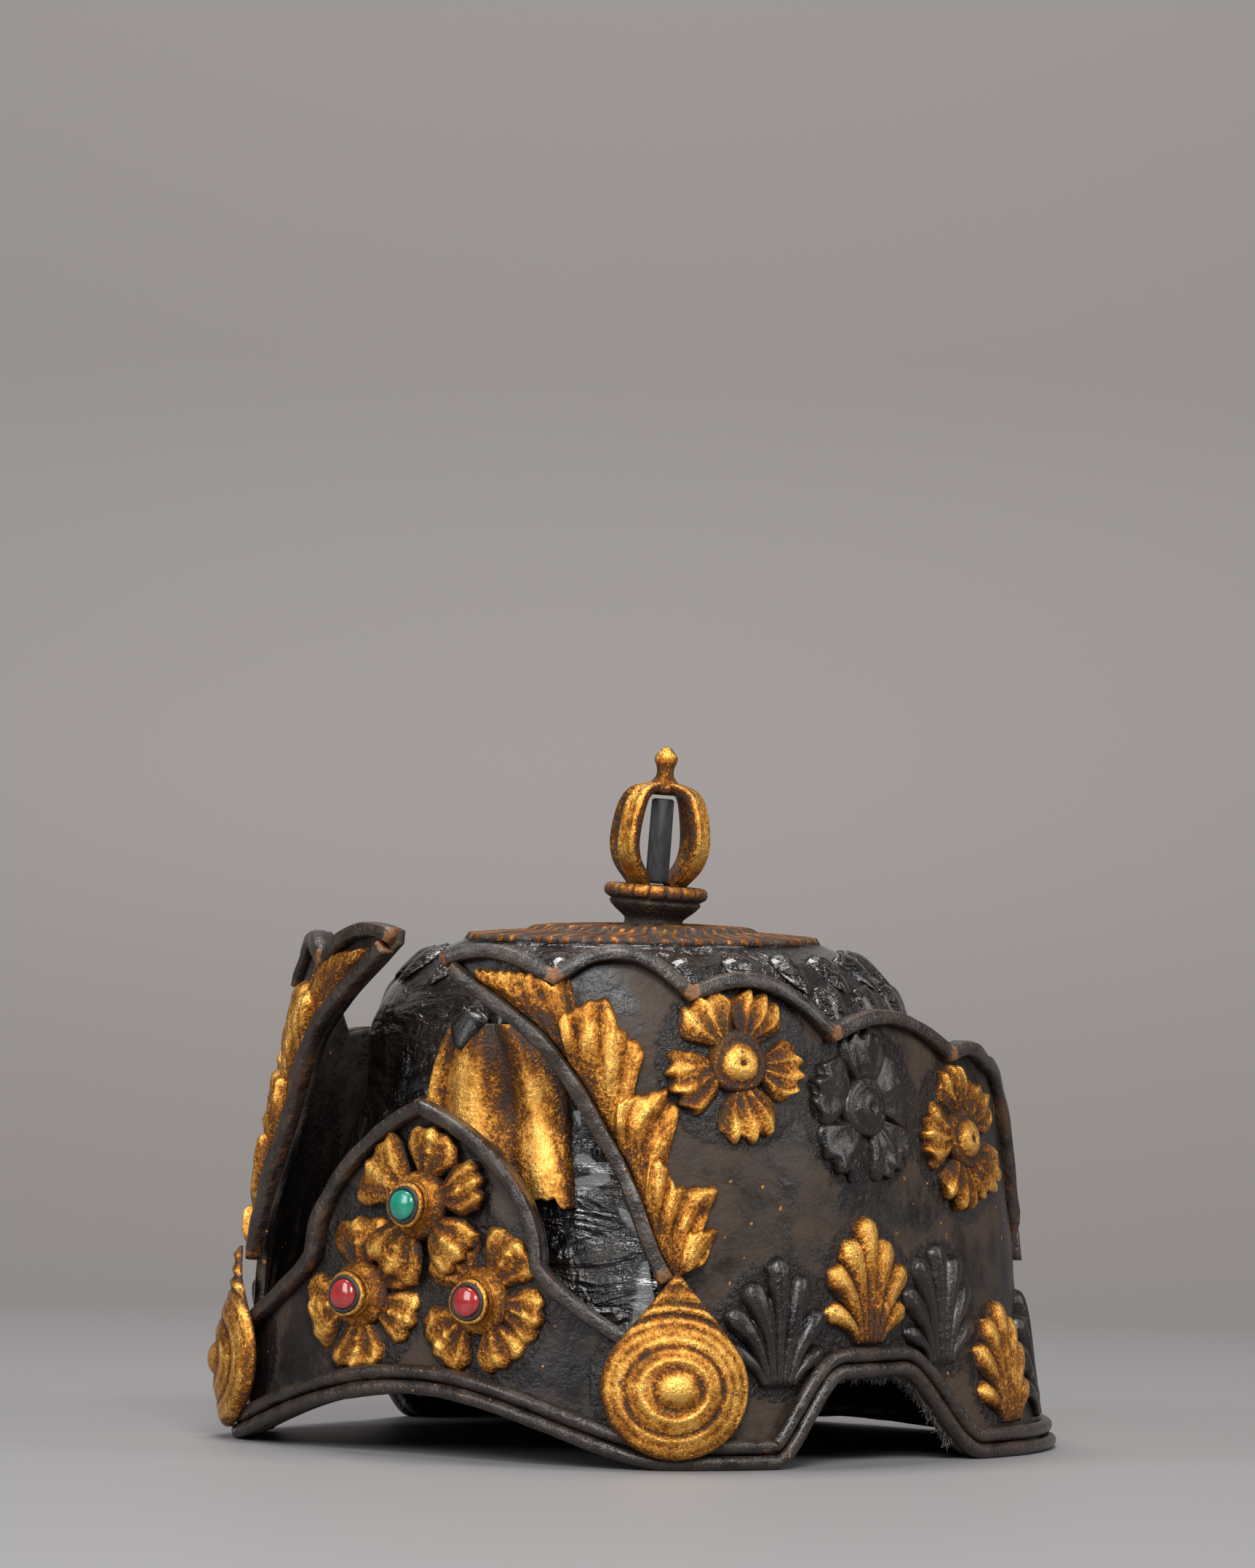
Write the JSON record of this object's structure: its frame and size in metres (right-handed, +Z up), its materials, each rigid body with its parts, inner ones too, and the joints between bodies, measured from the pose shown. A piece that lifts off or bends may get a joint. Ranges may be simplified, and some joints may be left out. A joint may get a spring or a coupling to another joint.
{
  "type": "ritual crown",
  "caption": "Black-lacquered leather ritual crown with a close cap inside scalloped standing panels, gilt flowers, leaf scrolls and bosses, coloured stones and a half-vajra finial.",
  "frame": {"origin": "on the floor under the middle of the crown's overall box, which is also the middle of the head opening to within a few millimetres", "axes": "+Z up out of the cap's top, -Y towards the wearer's front, +X towards the wearer's left side"},
  "size_m": [0.2088, 0.2126, 0.1956],
  "materials": {
    "lacquer": "satin",
    "cap_lacquer": "gloss",
    "rim_lacquer": "satin",
    "gilding": "satin",
    "gilt_metal": "satin",
    "dark_wood": "satin",
    "turquoise": "polished",
    "coral": "polished"
  },
  "bodies": {
    "root": {"back_arch_rim": "rim_lacquer", "back_gold_flower_left": "gilding", "back_gold_flower_right": "gilding", "back_panel": "lacquer", "cap": "cap_lacquer", "cap_lotus": "cap_lacquer", "drape": "gilding", "drape_leaf": "lacquer", "finial_pedestal": "dark_wood", "finial_prongs": "gilt_metal", "finial_rod": "dark_wood", "front_arch_rim": "rim_lacquer", "front_flower_left": "gilding", "front_flower_right": "gilding", "front_flower_top": "gilding", "front_panel": "lacquer", "front_stone_left": "coral", "front_stone_right": "coral", "front_stone_top": "turquoise", "gold_palmette_back_middle": "gilding", "hem_cord_lower": "rim_lacquer", "hem_cord_upper": "rim_lacquer", "left_acanthus": "gilding", "left_black_flower": "lacquer", "left_black_palmette_back": "lacquer", "left_black_palmette_corner": "lacquer", "left_black_palmette_ear": "lacquer", "left_black_palmette_front": "lacquer", "left_boss": "gilding", "left_front_rim": "rim_lacquer", "left_gold_flower_front": "gilding", "left_gold_flower_rear": "gilding", "left_gold_palmette_back": "gilding", "left_gold_palmette_ear": "gilding", "left_gold_palmette_rear": "gilding", "left_panel": "lacquer", "left_top_rim": "rim_lacquer", "right_acanthus": "gilding", "right_black_flower": "lacquer", "right_black_palmette_back": "lacquer", "right_black_palmette_corner": "lacquer", "right_black_palmette_ear": "lacquer", "right_black_palmette_front": "lacquer", "right_boss": "gilding", "right_front_rim": "rim_lacquer", "right_gold_flower_front": "gilding", "right_gold_flower_rear": "gilding", "right_gold_palmette_back": "gilding", "right_gold_palmette_ear": "gilding", "right_gold_palmette_rear": "gilding", "right_panel": "lacquer", "right_top_rim": "rim_lacquer"}
  },
  "joints": []
}
